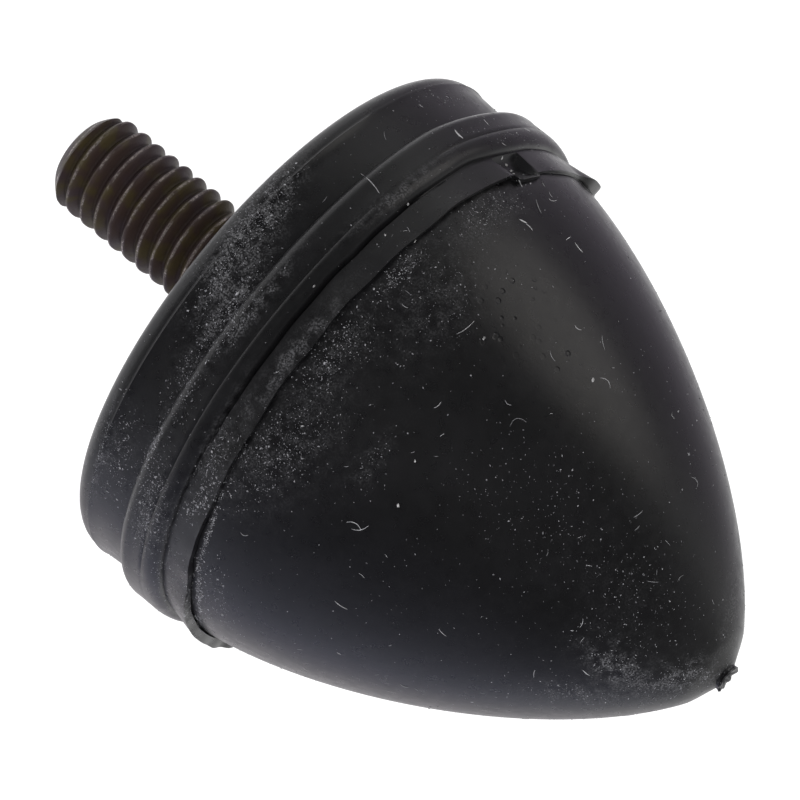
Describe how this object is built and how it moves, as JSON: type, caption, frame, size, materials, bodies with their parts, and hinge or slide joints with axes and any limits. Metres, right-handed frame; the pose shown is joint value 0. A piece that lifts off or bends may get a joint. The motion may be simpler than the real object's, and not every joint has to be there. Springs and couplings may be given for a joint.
{
  "type": "anti-vibration mount",
  "caption": "Bullet-shaped black rubber buffer with a beaded base band and flash lip, bonded to a steel plate with an M6 threaded stud.",
  "frame": {"origin": "centre of the base face, where the stud leaves the base plate", "axes": "+Z along the axis of revolution to the nose, the stud points to -Z; X and Y are free, the part is a body of revolution"},
  "size_m": [0.0316, 0.0316, 0.0444],
  "materials": {
    "rubber_body": "satin moulded skin, dusty",
    "base_plate": "dull yellow-passivated zinc",
    "threaded_stud": "dark yellow-passivated zinc, worn on the crests"
  },
  "bodies": {
    "root": {"rubber_body": "rubber_body", "base_plate": "base_plate", "threaded_stud": "threaded_stud"}
  },
  "joints": []
}
